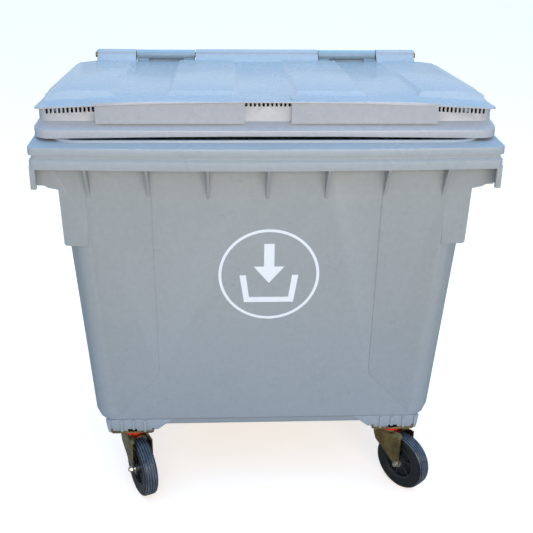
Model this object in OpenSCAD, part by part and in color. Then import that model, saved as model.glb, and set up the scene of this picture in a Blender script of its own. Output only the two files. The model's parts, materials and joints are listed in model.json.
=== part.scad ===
// Four-wheeled wheelie bin, 1100 litre class: moulded tub, domed lid on a hinge rod, four swivel casters.
// Millimetres. +Z is up and the front faces -Y. The origin is on the floor, under the middle of the bin.

/* [Overall] */
// width over the rim
rim_w = 1370; // [1300:1:1400]
// depth from the front of the rim to the back of the hinge
overall_depth = 992; // [960:1:1060]
// height of the rim's top ledge over the floor
rim_top = 1264; // [1200:1:1290]
// how far the front edge bows out in the middle
front_bow = 20; // [0:1:30]

/* [Tub] */
// wall thickness of the tub
wall = 6; // [4:0.5:8]
// half width of the tub under the rim
tub_top_x = 624; // [618:1:628]
// half width of the tub at its foot
tub_foot_x = 567; // [560:1:572]
// how far the rim stands out past the front wall
rim_overhang = 70; // [60:1:80]
// how far the foot of the front wall lies behind the front of the rim
foot_setback = 124; // [110:1:130]
// depth of the sunk middle panel on the front wall
panel_depth = 3; // [1:0.5:4]
// half width of the sunk middle panel
panel_x = 346; // [320:1:380]

/* [Lid] */
// half width of the lid's bottom flange
lid_flange_x = 680; // [670:1:684]
// height of the gap under the middle of the lid's front edge
lid_arch = 8; // [0:1:12]
// thickness of the lid's shell
lid_wall = 5; // [4:0.5:6]
// how much the lid's roof drops for each millimetre to the back
roof_fall = 0.07; // [0.05:0.01:0.08]
// how far the roof's side edges hang below its middle
lid_crown = 20; // [0:1:22]
// distance between the comb slots
comb_pitch = 12.1; // [11:0.1:12.3]
// angle the lid is drawn at, for looking only
lid_open = 0; // [0:1:270]

/* [Hinge] */
// radius of the zinc-plated hinge rod
rod_r = 10; // [8:0.5:11]
// height of the hinge rod over the floor
hinge_z = 1341; // [1338:1:1345]
// running clearance of every turning fit
fit = 0.05; // [0.02:0.01:0.1]

/* [Casters] */
// wheel radius
wheel_r = 100; // [98:1:102]
// width of the tyre's tread
wheel_w = 48; // [44:1:50]
// distance of a kingpin from the middle of the bin, sideways
king_x = 445; // [438:1:448]
// how far an axle trails behind its kingpin
trail = 70; // [62:1:72]
// height of the underside of the caster pads
pad_z = 236; // [236:1:238]

/* [Trunnions] */
// radius of the lifting pins
trunnion_r = 20; // [18:0.5:20]
// height of the lifting pins over the floor
trunnion_z = 1140; // [1130:1:1145]

/* [Hidden] */
$fn = 96;

// shared levels of the body
front = -overall_depth / 2;
knuckle_r = 20;
hinge_y = overall_depth / 2 - knuckle_r;
rim_x = rim_w / 2;
rim_front = front + front_bow;
rim_rear = hinge_y - 30;
groove_top = rim_top - 22;
groove_low = rim_top - 34;
rim_low = rim_top - 65;
groove_in = 8;
tub_foot_z = 276;
plinth_z = 257;
floor_z = 290;
front_top = front + rim_overhang;
front_foot = front + foot_setback;
rear_top = rim_rear - 60;
rear_foot = rear_top - 50;
foot_full_z = 310;
lean = atan((front_foot - front_top) / (rim_top - foot_full_z));
rib_pitch = 176;
rib_t = 8;

// caster places: kingpin depth and the way each wheel trails
front_king_y = front + 179;
rear_king_y = rear_foot - 62;
front_left_turn = -66;
front_right_turn = -50;
rear_left_turn = -78;
rear_right_turn = -62;

// hinge stations along the rod
barrel_x0 = 232;
barrel_x1 = 447;
lid_mid_x = 229;
lid_end_x0 = 450;
lid_end_x1 = 592;
rod_half = 602;

// lid levels
lid_low = rim_top + 8;
flange_h = 24;
flange_front = front + 78;
comb_front = flange_front + 40;
lip_front = flange_front + 13;
lid_bow = 6;
ledge_h = 17;
comb_z0 = lid_low + flange_h + ledge_h;
lip_z = 1373;
lip_t = 4;
comb_x = 667;
lip_x = 672;
lid_rear = rim_rear - 21;
roof_tilt = atan(roof_fall);
box_x0 = 68;
box_x1 = 497;

// shared caster levels
plate_t = 5;
plate_end = 69;
plate_low = pad_z - plate_t;
ball_r = 4;
ball_ring = 30;
race_top = plate_low - 2 * ball_r - 0.2;
crown_top = plate_low - 14;
crown_t = 5;
leg_in = 33;
leg_t = 4;
sleeve_r = 10;
bearing_half = 30;
sleeve_half = 32.9;
axle_r = 6;
king_r = 8;
plate_bolt_x = 52;
plate_bolt_y = 38;
plate_bolt_r = 5;

body_grey = [0.63, 0.66, 0.68];
lid_blue = [0.62, 0.70, 0.80];
zinc = [0.72, 0.60, 0.33];
steel = [0.70, 0.71, 0.73];
seal_red = [0.69, 0.06, 0.06];
rubber_black = [0.14, 0.14, 0.15];
hub_black = [0.08, 0.08, 0.09];
print_white = [0.95, 0.95, 0.95];

function arc_points(cx, cy, r, a0, a1, n) =
    [for (i = [0 : n]) let (a = a0 + (a1 - a0) * i / n) [cx + r * cos(a), cy + r * sin(a)]];

function bow_points(hx, y, bow, n) =
    [for (i = [1 : n - 1]) let (x = -hx + 2 * hx * i / n) [x, y - bow * (1 - pow(x / hx, 2))]];

// plan of a rounded rectangle whose front edge bows out
function plan_points(hx, y0, y1, bow, r0, r1, n = 5) = concat(
    arc_points(hx - r1, y1 - r1, r1, 0, 90, n),
    arc_points(-hx + r1, y1 - r1, r1, 90, 180, n),
    arc_points(-hx + r0, y0 + r0, r0, 180, 270, n),
    bow_points(hx - r0, y0, bow, 12),
    arc_points(hx - r0, y0 + r0, r0, 270, 360, n));

module plan_slab(z0, z1, hx, y0, y1, bow, r0, r1) {
    translate([0, 0, z0])
        linear_extrude(height = z1 - z0)
            polygon(plan_points(hx, y0, y1, bow, r0, r1));
}

module block(x0, x1, y0, y1, z0, z1) {
    translate([x0, y0, z0])
        cube([x1 - x0, y1 - y0, z1 - z0]);
}

// cylinder along X from x0 to x1
module x_rod(x0, x1, y, z, r) {
    translate([x0, y, z])
        rotate([0, 90, 0])
            cylinder(r = r, h = x1 - x0);
}

// frame lying in the leaning front wall: x sideways, y up the wall, z out of it
module on_front(z) {
    translate([0, front_foot - (z - foot_full_z) * tan(lean), z])
        rotate([90 + lean, 0, 0])
            children();
}

// ---------- body ----------

module tub_outside() {
    hull() {
        plan_slab(tub_foot_z, tub_foot_z + 1, tub_foot_x - 27, front_foot + 11, rear_foot - 12, 0, 46, 46);
        plan_slab(tub_foot_z + 9, tub_foot_z + 10, tub_foot_x - 11, front_foot + 4, rear_foot - 5, 0, 55, 55);
        plan_slab(foot_full_z, foot_full_z + 1, tub_foot_x, front_foot, rear_foot, 0, 62, 62);
        plan_slab(rim_top - 1, rim_top, tub_top_x + 4, front_top, rear_top, 0, 80, 80);
    }
}

module tub_inside() {
    t = wall + panel_depth;
    hull() {
        plan_slab(
            floor_z, floor_z + 1, tub_foot_x - 16 - wall, front_foot + t + 8,
            rear_foot - 10 - wall, 0, 44, 44);
        plan_slab(
            foot_full_z, foot_full_z + 1, tub_foot_x - wall, front_foot + t, rear_foot - wall, 0, 56, 56);
        plan_slab(rim_top + 9, rim_top + 10, tub_top_x + 4 - wall, front_top + t, rear_top - wall, 0, 74, 74);
    }
}

module front_panel_recess() {
    wall_h = rim_top - foot_full_z;
    bend = 470 - foot_full_z;
    on_front(foot_full_z)
        translate([0, 0, -panel_depth])
            linear_extrude(height = 20)
                polygon([
                    [-540, -60], [540, -60], [panel_x + 20, bend - 30], [panel_x + 4, bend - 12],
                    [panel_x, bend + 12], [panel_x, wall_h + 20], [-panel_x, wall_h + 20],
                    [-panel_x, bend + 12], [-panel_x - 4, bend - 12], [-panel_x - 20, bend - 30]]);
}

module rim_outside() {
    plan_slab(groove_top, rim_top, rim_x, rim_front, rim_rear, front_bow, 18, 18);
    plan_slab(
        groove_low + 1, groove_top + 1, rim_x - groove_in, rim_front + groove_in,
        rim_rear - groove_in, front_bow, 14, 14);
    hull() {
        plan_slab(
            rim_low, groove_low - groove_in + 2, rim_x - 1, rim_front + 1, rim_rear - 1, front_bow, 18, 18);
        plan_slab(
            groove_low + 1, groove_low + 2, rim_x - groove_in, rim_front + groove_in,
            rim_rear - groove_in, front_bow, 14, 14);
    }
}

module rim_underside() {
    plan_slab(rim_low - 5, groove_low - 12, rim_x - 6, rim_front + 6, rim_rear - 6, front_bow, 14, 14);
    plan_slab(groove_low - 13, rim_top - 6, rim_x - 15, rim_front + 15, rim_rear - 15, front_bow, 10, 10);
}

module rim_bead() {
    translate([0, 0, rim_top - 1])
        linear_extrude(height = 8)
            difference() {
                polygon(plan_points(tub_top_x + 8, front_top - 3, rear_top + 3, 0, 82, 82));
                polygon(plan_points(tub_top_x, front_top + 5, rear_top - 5, 0, 76, 76));
            }
}

// triangular rib under the rim, standing on a wall along +Y and let into the rim's skirt
module rim_rib(reach) {
    drop = 144;
    rotate([90, 0, 90])
        translate([0, 0, -rib_t / 2])
            linear_extrude(height = rib_t)
                polygon([
                    [-8, 0], [reach - 9, 0], [reach - 9, -35], [reach, -38], [reach, -48],
                    [2, -drop], [-8, -drop - 20]]);
}

module rim_ribs() {
    z = rim_low + 52;
    for (i = [-3 : 3]) {
        x = i * rib_pitch;
        translate([x, front_top + 4, z])
            mirror([0, 1, 0])
                rim_rib(rim_overhang - front_bow * pow(x / rim_x, 2));
        translate([x, rear_top - 4, z])
            rim_rib(rim_rear - rear_top);
    }
    for (s = [-1, 1])
        for (y = [-180, 180])
            translate([s * (tub_top_x - 2), y, z])
                rotate([0, 0, -s * 90])
                    rim_rib(rim_x - tub_top_x - 2);
}

// wide plate across each side's end, with a narrow strip running down the wall; dy points to its own corner
module corner_gusset(side, y, dy) {
    strip_low = 941;
    strip_x = 612;
    in_x = tub_top_x - 84;
    translate([0, y, 0])
        rotate([90, 0, 0])
            translate([0, 0, -3])
                linear_extrude(height = 6)
                    polygon([
                        [side * in_x, strip_low - 6], [side * (strip_x - 5), strip_low - 3],
                        [side * strip_x, strip_low + 2], [side * (strip_x + 5), 1117],
                        [side * (strip_x + 34), 1123], [side * (strip_x + 46), 1130],
                        [side * (rim_x - 4), 1131], [side * (rim_x - 4), rim_low + 10],
                        [side * (rim_x - 17), rim_top - 4], [side * in_x, rim_top - 4]]);
    // hanging lip at the corner and the side sheet that ties it to the plate
    lip_x0 = side > 0 ? rim_x - 17 : -rim_x + 1;
    sheet_x0 = side > 0 ? rim_x - 6 : -rim_x + 1;
    far = y + dy * 62;
    block(lip_x0, lip_x0 + 16, min(far, far - dy * 12), max(far, far - dy * 12), 1138, rim_low + 8);
    block(sheet_x0, sheet_x0 + 5, min(far, y), max(far, y), 1138, rim_low + 8);
}

module trunnion_boss(side) {
    x0 = side > 0 ? tub_top_x - 10 : -trunnion_face;
    block(x0, x0 + trunnion_face - tub_top_x + 10, -62, 62, trunnion_z - 62, rim_top - 3);
}

module hinge_bracket(x0, x1) {
    arm = 42;
    for (x = [x0, x1 - arm])
        translate([x, 0, 0])
            rotate([90, 0, 90])
                linear_extrude(height = arm)
                    polygon([
                        [rim_rear - 16, rim_top - 4], [rim_rear - 13, rim_top + 22],
                        [hinge_y - 12, hinge_z - 8], [hinge_y + 10, hinge_z - 12],
                        [rim_rear + 13, rim_top + 20], [rim_rear + 7, rim_low + 24],
                        [rim_rear - 8, rim_low + 16]]);
    x_rod(x0, x1, hinge_y, hinge_z, knuckle_r - 2);
    // web that closes the gap between the arms, at the back
    translate([x0 + 4, 0, 0])
        rotate([90, 0, 90])
            linear_extrude(height = x1 - x0 - 8)
                polygon([
                    [rim_rear + 2, rim_low + 30], [rim_rear + 8, rim_top + 20],
                    [hinge_y + 2, hinge_z - 12], [hinge_y + 7, hinge_z - 14],
                    [rim_rear + 13, rim_top + 19], [rim_rear + 7, rim_low + 26]]);
}

module plinth_ring() {
    difference() {
        plan_slab(plinth_z, floor_z - 2, tub_foot_x - 31, front_foot + 14, rear_foot - 17, 0, 42, 42);
        plan_slab(
            plinth_z - 1, tub_foot_z - 0.01, tub_foot_x - 36, front_foot + 19, rear_foot - 22, 0, 37, 37);
    }
}

// pad that carries one caster, with upright ribs on its outward face; out is -1 at the front, 1 at the back
module caster_pad(side, king_y, out) {
    pad_in = 308;
    pad_out = 530;
    rib_w = 8;
    front_y = king_y + out * 50;
    back_y = king_y - out * 52;
    y0 = min(front_y, back_y);
    depth = abs(front_y - back_y);
    translate([0, y0 + depth, 0])
        rotate([90, 0, 0])
            linear_extrude(height = depth)
                polygon([
                    [side * pad_in, tub_foot_z + 4], [side * (pad_in + 50), pad_z + 5],
                    [side * (king_x - 76), pad_z + 5], [side * (king_x - 74), pad_z],
                    [side * (pad_out - 8), pad_z], [side * (pad_out - 3), pad_z + 5],
                    [side * (pad_out + 3), tub_foot_z + 4]]);
    for (x = [402, 440, 480, 520])
        translate([side * x - rib_w / 2, out > 0 ? front_y - 1 : front_y - 6, pad_z])
            cube([rib_w, 7, tub_foot_z - pad_z + 3]);
}

module pad_bores(side, king_y) {
    for (dx = [-plate_bolt_x, plate_bolt_x])
        for (dy = [-plate_bolt_y, plate_bolt_y])
            translate([side * king_x + dx, king_y + dy, pad_z - 1])
                cylinder(r = plate_bolt_r + fit, h = 31);
    translate([side * king_x, king_y, pad_z - 1])
        cylinder(r = 24, h = 16);
    for (s = [-1, 1])
        block(
            side * king_x + s * plate_end - 3, side * king_x + s * plate_end + 3,
            king_y - 60, king_y + 60, pad_z - 1, pad_z + 9);
    block(side * king_x - 16, side * king_x + 16, king_y - 70, king_y + 70, pad_z - 1, pad_z + 7);
}

drain_y = 0;
drain_r = 30;

module drain_boss() {
    translate([0, drain_y, tub_foot_z - 14])
        cylinder(r = drain_r + 12, h = 20);
}

module drain_hole() {
    translate([0, drain_y, tub_foot_z - 20])
        cylinder(r = drain_r + fit, h = 60);
}

module body() {
    color(body_grey)
        difference() {
            union() {
                difference() {
                    tub_outside();
                    front_panel_recess();
                }
                difference() {
                    rim_outside();
                    rim_underside();
                }
                rim_bead();
                rim_ribs();
                for (side = [-1, 1]) {
                    corner_gusset(side, front + 88, -1);
                    corner_gusset(side, rim_rear - 84, 1);
                    trunnion_boss(side);
                    caster_pad(side, front_king_y, -1);
                    caster_pad(side, rear_king_y, 1);
                }
                hinge_bracket(barrel_x0, barrel_x1);
                hinge_bracket(-barrel_x1, -barrel_x0);
                plinth_ring();
                drain_boss();
            }
            tub_inside();
            for (side = [-1, 1]) {
                pad_bores(side, front_king_y);
                pad_bores(side, rear_king_y);
                trunnion_bores(side);
            }
            x_rod(-rod_half, rod_half, hinge_y, hinge_z, rod_r + fit);
            drain_hole();
        }
}

// ---------- lid ----------

// frame lying in the lid's roof: y runs back from the comb wall, z out of the roof
module on_roof() {
    translate([0, comb_front, lip_z])
        rotate([-roof_tilt, 0, 0])
            children();
}

// drop of the crowned roof at a distance x from the middle
function crown_drop(x) = lid_crown * pow(x / lip_x, 2);

function crown_line(z, crown, n = 12) =
    [for (i = [0 : n]) let (x = -700 + 1400 * i / n) [x, z - crown * pow(x / lip_x, 2)]];

// layer between z0 and z1 in the roof's frame, hanging at the sides by crown
module roof_layer(z0, z1, crown = lid_crown) {
    translate([0, 900, 0])
        rotate([90, 0, 0])
            linear_extrude(height = 1100)
                polygon(concat(
                    crown_line(z0, crown), [for (i = [12 : -1 : 0]) crown_line(z1, crown)[i]]));
}

// layer of the roof cut to the plan of the lip, drawn in by inset
module roof_slab(z0, z1, hx, inset, r, crown) {
    intersection() {
        plan_slab(
            lid_low, lip_z + 40, hx, lip_front + lid_bow + inset, lid_rear - inset * 0.1, lid_bow, r, 85);
        on_roof()
            roof_layer(z0, z1, crown);
    }
}

// prism with four sloping sides standing on the roof's frame; its slopes start at the given x and y limits,
// at height z0 on the sides and the back and at z_front on the front
module sloped_block(x0, x1, in0, in1, y0, y1, in_front, in_back, z_front, z0, z1) {
    intersection() {
        translate([0, y1, 0])
            rotate([90, 0, 0])
                linear_extrude(height = y1 - y0)
                    polygon([[x0, -20], [x0, z0], [x0 + in0, z1], [x1 - in1, z1], [x1, z0], [x1, -20]]);
        translate([x0, 0, 0])
            rotate([90, 0, 90])
                linear_extrude(height = x1 - x0)
                    polygon([
                        [y0, -20], [y0, z_front], [y0 + in_front, z1],
                        [y1 - in_back, z1], [y1, z0], [y1, -20]]);
    }
}

// raised fields on one side of the middle; the outer one slopes down to the lid's side
module raised_fields() {
    top = roof_base + field_rise;
    base = roof_base - 1;
    sloped_block(83, 295, 12, 12, field_y0, field_y1, 22, 24, lip_t, base, top);
    sloped_block(453, side_x, 12, side_slope, field_y0 - 6, field_y1 - 20, 32, 24, -10, base, top);
}

module raised_hollows() {
    t = lid_wall;
    top = roof_base + field_rise - t;
    sloped_block(83 + 16, 295 - 16, 4, 4, field_y0 + 34, field_y1 - 22, 8, 8, 4, 4, top);
    sloped_block(453 + 16, side_x - 12, 4, side_slope - 8, field_y0 + 42, field_y1 - 42, 8, 8, 4, 4, top);
}

field_y0 = 50;
field_y1 = 785;
roof_base = 10;
field_rise = 9;
side_x = 650;
side_slope = 58;

module lid_flange(hx_in, y_in, z0, z1, r) {
    plan_slab(
        z0, z1, lid_flange_x - hx_in, flange_front + lid_bow + y_in, lid_rear - y_in, lid_bow, r, r + 6);
}

module lid_outside() {
    top = lid_low + flange_h;
    lid_flange(0, 0, lid_low, top, 55);
    hull() {
        lid_flange(0, 0, top - 1, top, 55);
        plan_slab(comb_z0, comb_z0 + 1, comb_x, comb_front + lid_bow, lid_rear, lid_bow, 38, 80);
    }
    difference() {
        plan_slab(comb_z0, lip_z + 30, comb_x, comb_front + lid_bow, lid_rear, lid_bow, 38, 80);
        on_roof()
            roof_layer(2, 200);
    }
    roof_slab(0, lip_t, lip_x, 0, 28, lid_crown);
    hull() {
        roof_slab(lip_t - 2.4, lip_t - 0.6, comb_x - 2, 30, 26, lid_crown);
        roof_slab(roof_base - 2, roof_base, side_x + 3, 130, 60, 0);
    }
    on_roof()
        for (m = [0, 1])
            mirror([m, 0, 0])
                raised_fields();
    // closed boxes on the comb wall, flush with the lip, and the proud band of roof over them
    for (m = [0, 1])
        mirror([m, 0, 0]) {
            difference() {
                block(box_x0, box_x1, lip_front + 8, comb_front + 20, lid_low + flange_h + 16, lip_z + 20);
                on_roof()
                    roof_layer(2, 200);
            }
            on_roof()
                intersection() {
                    translate([box_x0, 0, 0])
                        rotate([90, 0, 90])
                            linear_extrude(height = box_x1 - box_x0)
                                polygon([
                                    [-24, -25], [-24, lip_t - 1], [-8, lip_t + 5], [46, lip_t + 5],
                                    [76, lip_t], [76, -25]]);
                    roof_layer(0.8, lip_t + 5);
                }
        }
}

module lid_inside() {
    t = lid_wall;
    lid_flange(t, t, lid_low - 1, lid_low + flange_h - 3, 50);
    difference() {
        plan_slab(
            lid_low, lip_z + 30, comb_x - t, comb_front + lid_bow + t, lid_rear - t, lid_bow, 33, 75);
        on_roof()
            roof_layer(lip_t - lid_wall, 200);
    }
    difference() {
        plan_slab(
            lid_low + flange_h, lip_z + 30, side_x - 12, lip_front + lid_bow + 132, lid_rear - 20, 0, 50, 55);
        on_roof()
            roof_layer(roof_base - lid_wall, 200, 0);
    }
    on_roof()
        for (m = [0, 1])
            mirror([m, 0, 0])
                raised_hollows();
    for (m = [0, 1])
        mirror([m, 0, 0])
            difference() {
                block(
                    box_x0 + 4, box_x1 - 4, lip_front + 12, comb_front + 30,
                    lid_low + flange_h + 20, lip_z + 10);
                on_roof()
                    roof_layer(-2, 200);
            }
}

module comb_slots() {
    slot_w = 6.6;
    slot_h = 14;
    end_slot_h = 19;
    middle_pitch = box_x0 / 5.4;
    for (i = [-5 : 5])
        translate([i * middle_pitch - slot_w / 2, comb_front - 5, lip_z - slot_h - 1])
            cube([slot_w, 16, slot_h]);
    for (s = [-1, 1])
        for (i = [0 : 11]) {
            x = box_x1 + 8 + i * comb_pitch;
            translate([s * x - slot_w / 2, comb_front - 5, lip_z - end_slot_h - 1 - crown_drop(x)])
                cube([slot_w, 60, end_slot_h]);
        }
}

module lid_arch_cut() {
    n = 12;
    hx = lid_flange_x - 40;
    translate([0, flange_front + 60, lid_low])
        rotate([90, 0, 0])
            linear_extrude(height = 90)
                polygon(concat(
                    [[-hx, -2]],
                    [for (i = [0 : n]) let (x = -hx + 2 * hx * i / n) [x, lid_arch * (1 - pow(x / hx, 2))]],
                    [[hx, -2]]));
}

module lid_knuckle(x0, x1) {
    x_rod(x0, x1, hinge_y, hinge_z, knuckle_r);
    translate([x0, 0, 0])
        rotate([90, 0, 90])
            linear_extrude(height = x1 - x0)
                polygon([
                    [lid_rear - 8, hinge_z - 40], [lid_rear - 8, hinge_z - 22],
                    [hinge_y, hinge_z + knuckle_r], [hinge_y + 8, hinge_z - 12],
                    [hinge_y - 6, hinge_z - 18.5], [lid_rear + 3, hinge_z - 40]]);
}

module lid() {
    color(lid_blue)
        translate([0, hinge_y, hinge_z])
            rotate([-lid_open, 0, 0])
                translate([0, -hinge_y, -hinge_z])
                    difference() {
                        union() {
                            difference() {
                                lid_outside();
                                lid_inside();
                            }
                            lid_knuckle(-lid_mid_x, lid_mid_x);
                            lid_knuckle(lid_end_x0, lid_end_x1);
                            lid_knuckle(-lid_end_x1, -lid_end_x0);
                        }
                        comb_slots();
                        lid_arch_cut();
                        x_rod(-rod_half, rod_half, hinge_y, hinge_z, rod_r + fit);
                    }
}

// ---------- hinge rod, emblem, trunnions, drain ----------

module hinge_rod() {
    color(zinc)
        x_rod(-rod_half, rod_half, hinge_y, hinge_z, rod_r);
}

module hinge_rod_clips() {
    color(zinc)
        for (s = [-1, 1])
            difference() {
                x_rod(s > 0 ? 593 : -597, s > 0 ? 597 : -593, hinge_y, hinge_z, 16);
                x_rod(-600, 600, hinge_y, hinge_z, rod_r + 0.02);
            }
}

emblem_z = 829;
emblem_r = 157.5;
emblem_stroke = 9;
emblem_t = 0.6;

module emblem() {
    color(print_white)
        on_front(emblem_z)
            translate([9, 0, -panel_depth + 0.02])
                linear_extrude(height = emblem_t) {
                    difference() {
                        circle(r = emblem_r);
                        circle(r = emblem_r - emblem_stroke);
                    }
                    polygon([
                        [-16, 108], [16, 108], [16, 30], [48, 30], [0, -28], [-48, 30], [-16, 30]]);
                    polygon([
                        [-92, 0], [-72, 0], [-62, -78], [62, -78], [72, 0], [92, 0], [78, -96], [-78, -96]]);
                }
}

trunnion_face = tub_top_x + 8;
trunnion_bolt_off = 44;

module trunnion_bores(side) {
    for (dy = [-1, 1])
        for (dz = [-1, 1])
            x_rod(
                side > 0 ? trunnion_face - 18 : -trunnion_face - 1,
                side > 0 ? trunnion_face + 1 : -trunnion_face + 18,
                dy * trunnion_bolt_off, trunnion_z + dz * trunnion_bolt_off, 5 + fit);
}

module trunnion(side) {
    x0 = trunnion_face + 0.05;
    color(zinc)
        mirror([side > 0 ? 0 : 1, 0, 0])
            difference() {
                union() {
                    block(x0, x0 + 6, -58, 58, trunnion_z - 58, trunnion_z + 58);
                    x_rod(x0, rim_x - 1, 0, trunnion_z, trunnion_r);
                    x_rod(x0 + 5, x0 + 12, 0, trunnion_z, trunnion_r + 6);
                }
                for (dy = [-1, 1])
                    for (dz = [-1, 1])
                        x_rod(
                            x0 - 1, x0 + 8, dy * trunnion_bolt_off, trunnion_z + dz * trunnion_bolt_off,
                            5 + fit);
            }
}

module trunnion_bolts() {
    x0 = trunnion_face + 6.1;
    color(steel)
        for (m = [0, 1])
            mirror([m, 0, 0])
                for (dy = [-1, 1])
                    for (dz = [-1, 1])
                        translate([x0, dy * trunnion_bolt_off, trunnion_z + dz * trunnion_bolt_off])
                            rotate([0, 90, 0]) {
                                cylinder(r = 8.5, h = 6.5, $fn = 6);
                                translate([0, 0, -23])
                                    cylinder(r = 5, h = 24);
                            }
}

module drain_plug() {
    color(hub_black)
        translate([0, drain_y, 0])
            difference() {
                union() {
                    translate([0, 0, tub_foot_z - 14])
                        cylinder(r = drain_r, h = 27);
                    translate([0, 0, tub_foot_z - 22])
                        cylinder(r = drain_r + 10, h = 5.5);
                    translate([0, 0, tub_foot_z - 17])
                        cylinder(r = drain_r, h = 4);
                }
                translate([-22, -3, tub_foot_z - 23])
                    cube([14, 6, 6]);
                translate([8, -3, tub_foot_z - 23])
                    cube([14, 6, 6]);
            }
}

module drain_gasket() {
    color(rubber_black)
        translate([0, drain_y, tub_foot_z - 16.4])
            difference() {
                cylinder(r = drain_r + 8, h = 2.3);
                translate([0, 0, -1])
                    cylinder(r = drain_r + 0.3, h = 5);
            }
}

// ---------- caster, drawn at its kingpin; u is the way it trails ----------

module at_king(side, king_y) {
    translate([side * king_x, king_y, 0])
        children();
}

module top_plate() {
    half = plate_end - 2;
    depth = 57;
    color(zinc)
        difference() {
            union() {
                translate([-half, -depth, plate_low])
                    cube([2 * half, 2 * depth, plate_t - 0.05]);
                for (s = [-1, 1])
                    translate([s * plate_end - 2.5, -depth + 4, plate_low])
                        cube([5, 2 * depth - 8, 12]);
                // inner raceway ring
                translate([0, 0, crown_top + 2])
                    difference() {
                        cylinder(r = ball_ring - ball_r - 0.1, h = plate_low - crown_top - 1);
                        translate([0, 0, -1])
                            cylinder(r = king_r + 6, h = 20);
                    }
            }
            translate([0, 0, plate_low - 1])
                cylinder(r = king_r + 0.02, h = 20);
            for (dx = [-plate_bolt_x, plate_bolt_x])
                for (dy = [-plate_bolt_y, plate_bolt_y])
                    translate([dx, dy, plate_low - 1])
                        cylinder(r = plate_bolt_r + fit, h = 20);
        }
}

module plate_bolts() {
    color(steel)
        for (dx = [-plate_bolt_x, plate_bolt_x])
            for (dy = [-plate_bolt_y, plate_bolt_y])
                translate([dx, dy, 0]) {
                    translate([0, 0, plate_low - 7])
                        cylinder(r = plate_bolt_r, h = 40);
                    translate([0, 0, plate_low - 8.1])
                        cylinder(r = 8.5, h = 8, $fn = 6);
                }
}

module swivel_balls() {
    count = 18;
    color(steel)
        for (i = [0 : count - 1])
            rotate([0, 0, i * 360 / count])
                translate([ball_ring, 0, race_top + 0.1 + ball_r])
                    sphere(r = ball_r, $fn = 16);
}

module kingpin() {
    color(steel) {
        translate([0, 0, crown_top - crown_t - 9])
            cylinder(r = king_r, h = plate_low + plate_t - crown_top + crown_t + 11);
        translate([0, 0, crown_top - crown_t - 10])
            cylinder(r = 13, h = 9.8, $fn = 6);
        translate([0, 0, pad_z + 0.05])
            cylinder(r = 10.5, h = 2.5);
    }
}

module swivel_seal() {
    color(seal_red)
        translate([0, 0, crown_top + 0.05])
            difference() {
                cylinder(r = 46, h = plate_low - crown_top - 0.45);
                translate([0, 0, -1])
                    cylinder(r = 40, h = 20);
            }
}

// side outline of a fork leg: upright trailing edge, slanting leading edge
module leg_outline() {
    polygon(concat(
        [[-lead, arch_low + 4], [-lead, arch_low - 20], [-lead + 10, arch_low - 46]],
        arc_points(trail, wheel_r, eye_r, 215, 360, 8),
        [[trail + eye_r, arch_low + 4]]));
}

// height where the crown's sloping shoulders meet the legs
arch_low = crown_top - 15;
lead = 39;
eye_r = 11;

module fork_shell() {
    half = leg_in + leg_t;
    for (s = [-1, 1])
        translate([0, s > 0 ? half : -leg_in, 0])
            rotate([90, 0, 0])
                linear_extrude(height = leg_t)
                    leg_outline();
    // arched crown, its section across the wheel run along the trail, notched over the wheel
    difference() {
        translate([-lead, 0, 0])
            rotate([90, 0, 90])
                linear_extrude(height = trail + lead + eye_r)
                    polygon([
                        [-half, arch_low], [-half, arch_low + 4], [-24, crown_top], [24, crown_top],
                        [half, arch_low + 4], [half, arch_low], [leg_in, arch_low], [leg_in, arch_low + 2],
                        [22, crown_top - 4.5], [-22, crown_top - 4.5], [-leg_in, arch_low + 2],
                        [-leg_in, arch_low]]);
        translate([trail + 18, 0, arch_low - 5])
            cylinder(r = leg_in - 4, h = 40);
    }
    translate([0, 0, crown_top - crown_t])
        cylinder(r = 47, h = crown_t);
    // outer raceway ring
    translate([0, 0, crown_top - 1])
        cylinder(r = 38, h = race_top - crown_top + 1);
}

module fork(front_caster) {
    color(zinc)
        difference() {
            fork_shell();
            translate([0, 0, crown_top - 30])
                cylinder(r = king_r + 0.06, h = 60);
            translate([0, 0, crown_top + 0.01])
                cylinder(r = ball_ring - ball_r + 0.5, h = 20);
            translate([trail, 50, wheel_r])
                rotate([90, 0, 0])
                    cylinder(r = axle_r + fit, h = 100);
            if (front_caster)
                translate([-lead + 9, 50, arch_low - 4])
                    rotate([90, 0, 0])
                        cylinder(r = 4 + fit, h = 100);
        }
}

module fork_bolt() {
    half = leg_in + leg_t;
    color(steel)
        translate([-lead + 9, 0, arch_low - 4])
            rotate([90, 0, 0]) {
                translate([0, 0, -half - 5])
                    cylinder(r = 4, h = 2 * half + 9);
                translate([0, 0, half + 0.05])
                    cylinder(r = 7, h = 5, $fn = 6);
                translate([0, 0, -half - 6.05])
                    cylinder(r = 7, h = 6, $fn = 6);
            }
}

module axle_bolt() {
    half = leg_in + leg_t;
    color(steel)
        translate([trail, 0, wheel_r])
            rotate([90, 0, 0]) {
                translate([0, 0, -half - 3])
                    cylinder(r = axle_r, h = 2 * half + 16);
                translate([0, 0, -half - 7.55])
                    cylinder(r = 10, h = 7.5, $fn = 6);
            }
}

module axle_nut() {
    half = leg_in + leg_t;
    color(steel)
        translate([trail, -half - 0.05, wheel_r])
            rotate([90, 0, 0])
                difference() {
                    union() {
                        cylinder(r = 10, h = 9, $fn = 6);
                        cylinder(r = 11.5, h = 2);
                    }
                    translate([0, 0, -1])
                        cylinder(r = axle_r + 0.02, h = 20);
                }
}

module axle_sleeve() {
    color(steel)
        translate([trail, sleeve_half, wheel_r])
            rotate([90, 0, 0])
                difference() {
                    cylinder(r = sleeve_r, h = 2 * sleeve_half);
                    translate([0, 0, -1])
                        cylinder(r = axle_r + fit, h = 80);
                }
}

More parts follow.
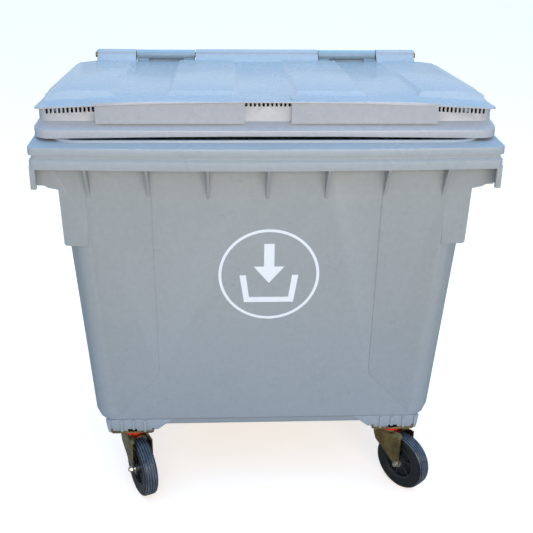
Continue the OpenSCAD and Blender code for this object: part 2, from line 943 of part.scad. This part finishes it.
module wheel_bearing() {
    color(steel)
        translate([trail, bearing_half, wheel_r])
            rotate([90, 0, 0])
                difference() {
                    cylinder(r = 14.95, h = 2 * bearing_half);
                    translate([0, 0, -1])
                        cylinder(r = sleeve_r + 0.06, h = 80);
                }
}

module wheel_hub() {
    rim_out = 59.9;
    color(hub_black)
        translate([trail, 0, wheel_r])
            rotate([90, 0, 0])
                difference() {
                    union() {
                        translate([0, 0, -bearing_half + 1])
                            cylinder(r = 23, h = 2 * bearing_half - 2);
                        translate([0, 0, -21])
                            difference() {
                                cylinder(r = rim_out, h = 42);
                                translate([0, 0, -1])
                                    cylinder(r = rim_out - 5, h = 50);
                            }
                        translate([0, 0, -3])
                            cylinder(r = rim_out - 5, h = 6);
                        for (i = [0 : 5])
                            rotate([0, 0, i * 60 + 15])
                                translate([20, -3, -16])
                                    cube([rim_out - 24, 6, 32]);
                    }
                    translate([0, 0, -40])
                        cylinder(r = 15, h = 80);
                }
}

// tyre section: rounded shoulders and four grooves round the tread
module tyre() {
    h = wheel_w / 2;
    g = 1.6;
    d = 2.5;
    color(rubber_black)
        translate([trail, 0, wheel_r])
            rotate([90, 0, 0])
                rotate_extrude()
                    polygon(concat(
                        [[60, -19], [66, -22], [84, -h]],
                        [[92, -h + 0.6], [97, -h + 3.4], [99.4, -h + 7.5]],
                        [for (y = [-13.5, -4.5, 4.5, 13.5]) each [
                            [wheel_r, y - g - 0.01], [wheel_r - d, y - g + 0.3],
                            [wheel_r - d, y + g - 0.3], [wheel_r, y + g + 0.01]]],
                        [[99.4, h - 7.5], [97, h - 3.4], [92, h - 0.6]],
                        [[84, h], [66, 22], [60, 19]]));
}

module turned(side, king_y, angle) {
    at_king(side, king_y)
        rotate([0, 0, angle])
            children();
}

module turned_front_left() {
    turned(-1, front_king_y, front_left_turn)
        children();
}

module turned_front_right() {
    turned(1, front_king_y, front_right_turn)
        children();
}

module turned_rear_left() {
    turned(-1, rear_king_y, rear_left_turn)
        children();
}

module turned_rear_right() {
    turned(1, rear_king_y, rear_right_turn)
        children();
}

// ---------- nodes ----------

body();
lid();
hinge_rod();
hinge_rod_clips();
emblem();
trunnion(-1);  // trunnion_left
trunnion(1);  // trunnion_right
trunnion_bolts();
drain_plug();
drain_gasket();

at_king(-1, front_king_y) top_plate();  // front_left_top_plate
at_king(-1, front_king_y) plate_bolts();  // front_left_plate_bolts
at_king(-1, front_king_y) swivel_balls();  // front_left_swivel_balls
at_king(-1, front_king_y) kingpin();  // front_left_kingpin
turned_front_left() swivel_seal();  // front_left_swivel_seal
turned_front_left() fork(true);  // front_left_fork
turned_front_left() fork_bolt();  // front_left_fork_bolt
turned_front_left() axle_bolt();  // front_left_axle_bolt
turned_front_left() axle_nut();  // front_left_axle_nut
turned_front_left() axle_sleeve();  // front_left_axle_sleeve
turned_front_left() wheel_bearing();  // front_left_wheel_bearing
turned_front_left() wheel_hub();  // front_left_wheel_hub
turned_front_left() tyre();  // front_left_tyre

at_king(1, front_king_y) top_plate();  // front_right_top_plate
at_king(1, front_king_y) plate_bolts();  // front_right_plate_bolts
at_king(1, front_king_y) swivel_balls();  // front_right_swivel_balls
at_king(1, front_king_y) kingpin();  // front_right_kingpin
turned_front_right() swivel_seal();  // front_right_swivel_seal
turned_front_right() fork(true);  // front_right_fork
turned_front_right() fork_bolt();  // front_right_fork_bolt
turned_front_right() axle_bolt();  // front_right_axle_bolt
turned_front_right() axle_nut();  // front_right_axle_nut
turned_front_right() axle_sleeve();  // front_right_axle_sleeve
turned_front_right() wheel_bearing();  // front_right_wheel_bearing
turned_front_right() wheel_hub();  // front_right_wheel_hub
turned_front_right() tyre();  // front_right_tyre

at_king(-1, rear_king_y) top_plate();  // rear_left_top_plate
at_king(-1, rear_king_y) plate_bolts();  // rear_left_plate_bolts
at_king(-1, rear_king_y) swivel_balls();  // rear_left_swivel_balls
at_king(-1, rear_king_y) kingpin();  // rear_left_kingpin
turned_rear_left() swivel_seal();  // rear_left_swivel_seal
turned_rear_left() fork(false);  // rear_left_fork
turned_rear_left() axle_bolt();  // rear_left_axle_bolt
turned_rear_left() axle_nut();  // rear_left_axle_nut
turned_rear_left() axle_sleeve();  // rear_left_axle_sleeve
turned_rear_left() wheel_bearing();  // rear_left_wheel_bearing
turned_rear_left() wheel_hub();  // rear_left_wheel_hub
turned_rear_left() tyre();  // rear_left_tyre

at_king(1, rear_king_y) top_plate();  // rear_right_top_plate
at_king(1, rear_king_y) plate_bolts();  // rear_right_plate_bolts
at_king(1, rear_king_y) swivel_balls();  // rear_right_swivel_balls
at_king(1, rear_king_y) kingpin();  // rear_right_kingpin
turned_rear_right() swivel_seal();  // rear_right_swivel_seal
turned_rear_right() fork(false);  // rear_right_fork
turned_rear_right() axle_bolt();  // rear_right_axle_bolt
turned_rear_right() axle_nut();  // rear_right_axle_nut
turned_rear_right() axle_sleeve();  // rear_right_axle_sleeve
turned_rear_right() wheel_bearing();  // rear_right_wheel_bearing
turned_rear_right() wheel_hub();  // rear_right_wheel_hub
turned_rear_right() tyre();  // rear_right_tyre
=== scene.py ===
"""Looks of a four-wheeled wheelie bin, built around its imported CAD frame. Metres, +Z up, front towards -Y."""

import json
import math

import bmesh
import bpy
from mathutils import Matrix, Vector


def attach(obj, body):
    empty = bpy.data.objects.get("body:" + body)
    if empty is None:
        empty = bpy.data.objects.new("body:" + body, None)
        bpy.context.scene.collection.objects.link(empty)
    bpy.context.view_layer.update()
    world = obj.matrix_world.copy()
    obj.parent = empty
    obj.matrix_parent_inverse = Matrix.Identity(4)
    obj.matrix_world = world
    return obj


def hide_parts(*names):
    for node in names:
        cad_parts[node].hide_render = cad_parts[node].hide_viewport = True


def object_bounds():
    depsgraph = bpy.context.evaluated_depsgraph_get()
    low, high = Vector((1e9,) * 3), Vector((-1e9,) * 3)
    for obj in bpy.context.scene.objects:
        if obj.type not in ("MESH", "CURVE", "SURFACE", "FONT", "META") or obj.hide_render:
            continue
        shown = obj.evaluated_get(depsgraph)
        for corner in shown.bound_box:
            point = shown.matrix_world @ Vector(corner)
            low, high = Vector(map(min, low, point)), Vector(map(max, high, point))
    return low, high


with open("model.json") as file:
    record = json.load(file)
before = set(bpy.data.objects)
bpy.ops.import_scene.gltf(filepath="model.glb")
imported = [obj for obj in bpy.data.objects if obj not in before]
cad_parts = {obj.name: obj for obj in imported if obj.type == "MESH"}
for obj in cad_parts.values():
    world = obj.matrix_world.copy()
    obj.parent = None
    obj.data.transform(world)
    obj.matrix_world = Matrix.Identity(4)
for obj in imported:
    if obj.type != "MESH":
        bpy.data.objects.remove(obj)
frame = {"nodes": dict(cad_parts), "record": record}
CAD_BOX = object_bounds()
RECORD = frame["record"]
SLOT_OF = {s["node"]: s["material_slot"] for s in RECORD["subparts"]}
BODY_OF = {n: b for b, members in RECORD["behaviour"]["bodies"].items() for n in members}

# how bright the floor glows to the camera alone, and what light it throws back on the bin
FLOOR_GLOW = 0.58
FLOOR_THROW = (0.50, 0.44, 0.36)
# camera: focal length and sensor width in millimetres, place and turns in metres and degrees
FOCAL_MM = 60.788
SENSOR_MM = 36.0
CAMERA_X = -0.137
CAMERA_BEFORE_FRONT = 2.45
CAMERA_Z = 2.005
PITCH, YAW, ROLL = 24.2, 3.1, 0.8
# points closer than this, in metres, are one; faces that turn less than this, in degrees, are one flat face
MERGE_WITHIN = 1e-5
FLAT_WITHIN = 0.6
# edges that turn by more than these degrees are rounded, and shaded sharp
ROUNDED_FROM = 28.0
SHARP_FROM = 32.0


# ---------- materials ----------

def new_material(name):
    mat = bpy.data.materials.new(name)
    mat.use_nodes = True
    nodes = mat.node_tree.nodes
    return mat, nodes, mat.node_tree.links, nodes["Principled BSDF"]


def noise(nodes, links, coords, scale, detail=4.0, rough=0.55, stretch=None):
    tex = nodes.new("ShaderNodeTexNoise")
    tex.inputs["Scale"].default_value = scale
    tex.inputs["Detail"].default_value = detail
    tex.inputs["Roughness"].default_value = rough
    source = coords.outputs["Object"]
    if stretch:
        mapping = nodes.new("ShaderNodeMapping")
        mapping.inputs["Scale"].default_value = stretch
        links.new(source, mapping.inputs["Vector"])
        source = mapping.outputs["Vector"]
    links.new(source, tex.inputs["Vector"])
    return tex.outputs["Fac"]


def ramp(nodes, links, value, low, high, at=(0.35, 0.65)):
    node = nodes.new("ShaderNodeValToRGB")
    node.color_ramp.elements[0].position = at[0]
    node.color_ramp.elements[1].position = at[1]
    node.color_ramp.elements[0].color = (*low, 1)
    node.color_ramp.elements[1].color = (*high, 1)
    links.new(value, node.inputs["Fac"])
    return node.outputs["Color"]


def grey_ramp(nodes, links, value, low, high, at=(0.35, 0.65)):
    return ramp(nodes, links, value, (low,) * 3, (high,) * 3, at)


def mix(nodes, links, factor, a, b, kind="MIX"):
    node = nodes.new("ShaderNodeMix")
    node.data_type = "RGBA"
    node.blend_type = kind
    for socket, value in (("Factor", factor), ("A", a), ("B", b)):
        target = [s for s in node.inputs if s.name == socket and s.enabled][0]
        if isinstance(value, (int, float)):
            target.default_value = value
        elif isinstance(value, tuple):
            target.default_value = (*value, 1)
        else:
            links.new(value, target)
    return [s for s in node.outputs if s.enabled][0]


def bump(nodes, links, height, strength, distance, below=None):
    node = nodes.new("ShaderNodeBump")
    node.inputs["Strength"].default_value = strength
    node.inputs["Distance"].default_value = distance
    links.new(height, node.inputs["Height"])
    if below is not None:
        links.new(below, node.inputs["Normal"])
    return node.outputs["Normal"]


def moulded_plastic(
        name, tint, dark, rough, grain=900.0, scuffs=True, painted_light_levels=None, drift=0.08, relief=1.0):
    """Polyethylene skin: cloudy colour, spark-eroded grain, sink waves, fine scuffs and a little dust.

    painted_light_levels: (height in metres, tint) pairs of painted light and shade, which change the colour up
    the piece.
    drift: how far the roughness wanders; relief: depth of the grain and waves, 1 on the coarse tub.
    """
    mat, nodes, links, shader = new_material(name)
    coords = nodes.new("ShaderNodeTexCoord")
    cloud = noise(nodes, links, coords, 2.2, 5.0)
    colour = ramp(nodes, links, cloud, dark, tint, (0.3, 0.7))
    # painted light and shade: the colour is multiplied by a tint that changes with height
    if painted_light_levels:
        low, high = painted_light_levels[0][0], painted_light_levels[-1][0]
        split = nodes.new("ShaderNodeSeparateXYZ")
        links.new(coords.outputs["Object"], split.inputs[0])
        scale = nodes.new("ShaderNodeMapRange")
        scale.inputs["From Min"].default_value = low
        scale.inputs["From Max"].default_value = high
        links.new(split.outputs["Z"], scale.inputs["Value"])
        up = nodes.new("ShaderNodeValToRGB")
        stops = up.color_ramp.elements
        stops[0].color = (*painted_light_levels[0][1], 1)
        stops[-1].color = (*painted_light_levels[-1][1], 1)
        for z, shade in painted_light_levels[1:-1]:
            stops.new((z - low) / (high - low)).color = (*shade, 1)
        links.new(scale.outputs["Result"], up.inputs["Fac"])
        colour = mix(nodes, links, 1.0, colour, up.outputs["Color"], "MULTIPLY")
    fine = noise(nodes, links, coords, 60.0, 6.0)
    colour = mix(nodes, links, 0.08, colour, grey_ramp(nodes, links, fine, 0.25, 0.62), "OVERLAY")
    if scuffs:
        streak = noise(nodes, links, coords, 16.0, 7.0, 0.7, (7.0, 7.0, 0.7))
        mask = grey_ramp(nodes, links, streak, 0.0, 0.30, (0.62, 0.78))
        colour = mix(nodes, links, mask, colour, tuple(min(1.0, c * 1.2) for c in tint))
    links.new(colour, shader.inputs["Base Color"])
    links.new(grey_ramp(nodes, links, noise(nodes, links, coords, 9.0, 6.0), rough - drift, rough + drift),
              shader.inputs["Roughness"])
    shader.inputs["IOR"].default_value = 1.5
    wave = bump(nodes, links, noise(nodes, links, coords, 5.0, 1.0), 0.25 * relief, 0.004)
    skin = bump(nodes, links, noise(nodes, links, coords, grain, 2.0), 0.12 * relief, 0.0006, wave)
    links.new(skin, shader.inputs["Normal"])
    return mat


def plated_metal(name, tint, dark, rough, grime=0.5):
    """Yellow-passivated or bright zinc: drifting hue, dull spots and darker grime in patches."""
    mat, nodes, links, shader = new_material(name)
    coords = nodes.new("ShaderNodeTexCoord")
    hue = noise(nodes, links, coords, 22.0, 6.0, 0.6)
    colour = ramp(nodes, links, hue, dark, tint, (0.32, 0.66))
    spots = noise(nodes, links, coords, 140.0, 4.0)
    colour = mix(nodes, links, grey_ramp(nodes, links, spots, 0.0, grime, (0.5, 0.75)), colour,
                 tuple(c * 0.35 for c in dark))
    links.new(colour, shader.inputs["Base Color"])
    shader.inputs["Metallic"].default_value = 1.0
    links.new(grey_ramp(nodes, links, spots, rough - 0.08, rough + 0.15), shader.inputs["Roughness"])
    brushed = noise(nodes, links, coords, 90.0, 3.0, 0.5, (1.0, 1.0, 6.0))
    links.new(bump(nodes, links, brushed, 0.15, 0.0004), shader.inputs["Normal"])
    return mat


def tyre_rubber(name, dark=(0.004, 0.0045, 0.006), tint=(0.013, 0.0145, 0.018)):
    """Solid black rubber with a dusty bloom; given pale blue-grey colours, a painted reflection of the sky
    along edges.
    """
    mat, nodes, links, shader = new_material(name)
    coords = nodes.new("ShaderNodeTexCoord")
    dust_and_sheen = noise(nodes, links, coords, 34.0, 8.0, 0.65)
    colour = ramp(nodes, links, dust_and_sheen, dark, tint, (0.35, 0.75))
    links.new(colour, shader.inputs["Base Color"])
    links.new(grey_ramp(nodes, links, dust_and_sheen, 0.26, 0.44), shader.inputs["Roughness"])
    pores = noise(nodes, links, coords, 700.0, 3.0)
    links.new(bump(nodes, links, pores, 0.2, 0.0005), shader.inputs["Normal"])
    return mat


def printed_film(name):
    """White print, a little worn through at the edges of its grain."""
    mat, nodes, links, shader = new_material(name)
    coords = nodes.new("ShaderNodeTexCoord")
    worn = noise(nodes, links, coords, 260.0, 6.0, 0.7)
    colour = ramp(nodes, links, worn, (0.62, 0.64, 0.66), (0.86, 0.87, 0.88), (0.22, 0.42))
    links.new(colour, shader.inputs["Base Color"])
    shader.inputs["Roughness"].default_value = 0.42
    links.new(bump(nodes, links, worn, 0.08, 0.0003), shader.inputs["Normal"])
    return mat


def pale_floor(name):
    """Pale ground: seen white, but it throws back only a little warm light, as a paved yard does."""
    mat, nodes, links, shader = new_material(name)
    coords = nodes.new("ShaderNodeTexCoord")
    shade = noise(nodes, links, coords, 1.5, 4.0)
    seen = ramp(nodes, links, shade, (0.93, 0.90, 0.86), (0.96, 0.93, 0.89))
    path = nodes.new("ShaderNodeLightPath")
    colour = mix(nodes, links, path.outputs["Is Camera Ray"], FLOOR_THROW, seen)
    links.new(colour, shader.inputs["Base Color"])
    shader.inputs["Roughness"].default_value = 0.95
    shader.inputs["Specular IOR Level"].default_value = 0.0
    glow = nodes.new("ShaderNodeMath")
    glow.operation = "MULTIPLY"
    glow.inputs[1].default_value = FLOOR_GLOW
    links.new(path.outputs["Is Camera Ray"], glow.inputs[0])
    links.new(glow.outputs[0], shader.inputs["Emission Strength"])
    shader.inputs["Emission Color"].default_value = (1.0, 0.86, 0.70, 1)
    return mat


# tint of the tub's skin by height, matched to the view, painting light and shade into it: a painted shade makes
# it bluer and darker at its foot, it is greyest below the rim, a painted light makes the rim lighter, and a
# painted reflection of the sky makes it bluer again above it
BODY_PAINTED_LIGHT = [
    (0.25, (0.74, 0.80, 0.88)), (0.75, (0.82, 0.82, 0.81)), (1.185, (0.83, 0.82, 0.79)),
    (1.20, (0.90, 0.90, 0.90)), (1.27, (0.88, 0.90, 0.92)), (1.32, (0.82, 0.94, 1.00)),
]
MATERIALS = {
    "body_plastic": moulded_plastic(
        "body_plastic", (0.45, 0.465, 0.47), (0.43, 0.45, 0.455), 0.35, painted_light_levels=BODY_PAINTED_LIGHT),
    "lid_plastic": moulded_plastic(
        "lid_plastic", (0.485, 0.475, 0.475), (0.475, 0.467, 0.470), 0.27,
        scuffs=False, drift=0.02, relief=0.35),
    "white_print": printed_film("white_print"),
    "zinc_plate": plated_metal("zinc_plate", (0.46, 0.33, 0.14), (0.17, 0.125, 0.07), 0.30, 0.7),
    "bright_steel": plated_metal("bright_steel", (0.70, 0.66, 0.55), (0.48, 0.44, 0.34), 0.30, 0.3),
    "red_seal": moulded_plastic(
        "red_seal", (0.80, 0.015, 0.012), (0.65, 0.012, 0.01), 0.35, 500.0, False),
    "tyre_rubber": tyre_rubber("tyre_rubber"),
    "hub_plastic": moulded_plastic(
        "hub_plastic", (0.014, 0.015, 0.018), (0.008, 0.0085, 0.010), 0.4, 500.0, False),
    "gasket_rubber": tyre_rubber("gasket_rubber"),
}
# painted light along the rounded edges of a piece: a painted gold highlight on the zinc, and a painted
# reflection of the sky in pale blue-grey on the black tyre and hub
PAINTED_EDGE_LIGHT = {
    "zinc_plate": plated_metal("zinc_edge", (0.95, 0.66, 0.22), (0.62, 0.42, 0.14), 0.24, 0.2),
    "tyre_rubber": tyre_rubber("tyre_edge", (0.07, 0.09, 0.12), (0.19, 0.23, 0.29)),
    "hub_plastic": tyre_rubber("hub_edge", (0.07, 0.09, 0.12), (0.19, 0.23, 0.29)),
}
# radius of the rounded edges in metres, where 0 keeps the CAD node itself
EDGE_RADIUS = {
    "body_plastic": 0.0018, "lid_plastic": 0.003, "zinc_plate": 0.0013, "bright_steel": 0.0005,
    "red_seal": 0.0006, "tyre_rubber": 0.0011, "hub_plastic": 0.0014, "gasket_rubber": 0.0004,
    "white_print": 0.0,
}


# ---------- pieces ----------

def refined(node, radius):
    """A copy of a CAD node's shape with rounded, softly shaded edges, which stands for the node."""
    mesh = frame["nodes"][node].data.copy()
    piece = bpy.data.objects.new(node + "_skin", mesh)
    bpy.context.scene.collection.objects.link(piece)
    bm = bmesh.new()
    bm.from_mesh(mesh)
    bmesh.ops.remove_doubles(bm, verts=bm.verts, dist=MERGE_WITHIN)
    bmesh.ops.dissolve_limit(bm, angle_limit=math.radians(FLAT_WITHIN), verts=bm.verts, edges=bm.edges)
    bm.to_mesh(mesh)
    bm.free()
    mesh.materials.clear()
    slot = SLOT_OF[node]
    mesh.materials.append(MATERIALS[slot])
    # the rounded edges take the painted edge light listed for the slot, where there is one
    mesh.materials.append(PAINTED_EDGE_LIGHT.get(slot, MATERIALS[slot]))
    bevel = piece.modifiers.new("rounded_edges", "BEVEL")
    bevel.width = radius
    bevel.segments = 2
    bevel.material = 1
    bevel.limit_method = "ANGLE"
    bevel.angle_limit = math.radians(ROUNDED_FROM)
    bake_modifiers(piece)
    smooth_by_angle(piece, SHARP_FROM)
    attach(piece, BODY_OF[node])
    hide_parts(node)


def bake_modifiers(piece):
    graph = bpy.context.evaluated_depsgraph_get()
    baked = bpy.data.meshes.new_from_object(piece.evaluated_get(graph))
    piece.modifiers.clear()
    piece.data = baked


def smooth_by_angle(piece, degrees):
    mesh = piece.data
    bm = bmesh.new()
    bm.from_mesh(mesh)
    limit = math.radians(degrees)
    for face in bm.faces:
        face.smooth = True
    for edge in bm.edges:
        edge.smooth = len(edge.link_faces) == 2 and edge.calc_face_angle(0.0) < limit
    bm.to_mesh(mesh)
    bm.free()


def dress_nodes():
    for node in frame["nodes"]:
        slot = SLOT_OF[node]
        if EDGE_RADIUS[slot] > 0 and "balls" not in node:
            refined(node, EDGE_RADIUS[slot])
        else:
            cad = frame["nodes"][node]
            cad.data.materials.clear()
            cad.data.materials.append(MATERIALS[slot])


# ---------- surroundings ----------

def build_floor():
    mesh = bpy.data.meshes.new("floor")
    bm = bmesh.new()
    bmesh.ops.create_grid(bm, x_segments=2, y_segments=2, size=40.0)
    bm.to_mesh(mesh)
    bm.free()
    floor = bpy.data.objects.new("floor", mesh)
    bpy.context.scene.collection.objects.link(floor)
    floor.location.z = CAD_BOX[0][2] - 0.0005
    mesh.materials.append(pale_floor("pale_floor"))


def build_world():
    """Pale surround at the horizon that turns sky blue overhead."""
    world = bpy.data.worlds.new("soft_sky")
    bpy.context.scene.world = world
    world.use_nodes = True
    nodes, links = world.node_tree.nodes, world.node_tree.links
    background = nodes["Background"]
    coords = nodes.new("ShaderNodeTexCoord")
    split = nodes.new("ShaderNodeSeparateXYZ")
    links.new(coords.outputs["Generated"], split.inputs[0])
    sky = nodes.new("ShaderNodeValToRGB")
    sky.color_ramp.elements[0].position = 0.05
    sky.color_ramp.elements[0].color = (0.84, 0.88, 0.94, 1)
    sky.color_ramp.elements[1].position = 0.55
    sky.color_ramp.elements[1].color = (0.27, 0.53, 0.93, 1)
    links.new(split.outputs["Z"], sky.inputs["Fac"])
    links.new(sky.outputs["Color"], background.inputs["Color"])
    background.inputs["Strength"].default_value = 1.0


def area_light(name, place, aim, size, power, colour):
    lamp = bpy.data.lights.new(name, "AREA")
    lamp.shape = "RECTANGLE"
    lamp.size, lamp.size_y = size
    lamp.energy = power
    lamp.color = colour
    obj = bpy.data.objects.new(name, lamp)
    bpy.context.scene.collection.objects.link(obj)
    obj.location = place
    obj.rotation_euler = (Vector(aim) - Vector(place)).to_track_quat("-Z", "Y").to_euler()


def build_lights():
    area_light("front_soft", (0.5, -5.2, 2.2), (0, 0, 0.8), (4.5, 2.5), 162, (1.0, 0.92, 0.83))
    area_light("sky_top", (0.3, 0.9, 4.4), (0, 0, 1.0), (4.5, 4.5), 104, (0.46, 0.75, 1.0))


def build_camera():
    """Stands a little left of the middle and looks down on the front."""
    pitch, yaw, roll = math.radians(PITCH), math.radians(YAW), math.radians(ROLL)
    front = CAD_BOX[0][1]
    data = bpy.data.cameras.new("view")
    data.sensor_width = SENSOR_MM
    data.lens = FOCAL_MM
    camera = bpy.data.objects.new("view", data)
    bpy.context.scene.collection.objects.link(camera)
    turn = Matrix.Rotation(-yaw, 4, "Z") @ Matrix.Rotation(math.radians(90) - pitch, 4, "X")
    turn = turn @ Matrix.Rotation(roll, 4, "Z")
    camera.matrix_world = Matrix.Translation((CAMERA_X, front - CAMERA_BEFORE_FRONT, CAMERA_Z)) @ turn
    bpy.context.scene.camera = camera


dress_nodes()
build_floor()
build_world()
build_lights()
build_camera()
bpy.context.scene.view_settings.view_transform = "Standard"
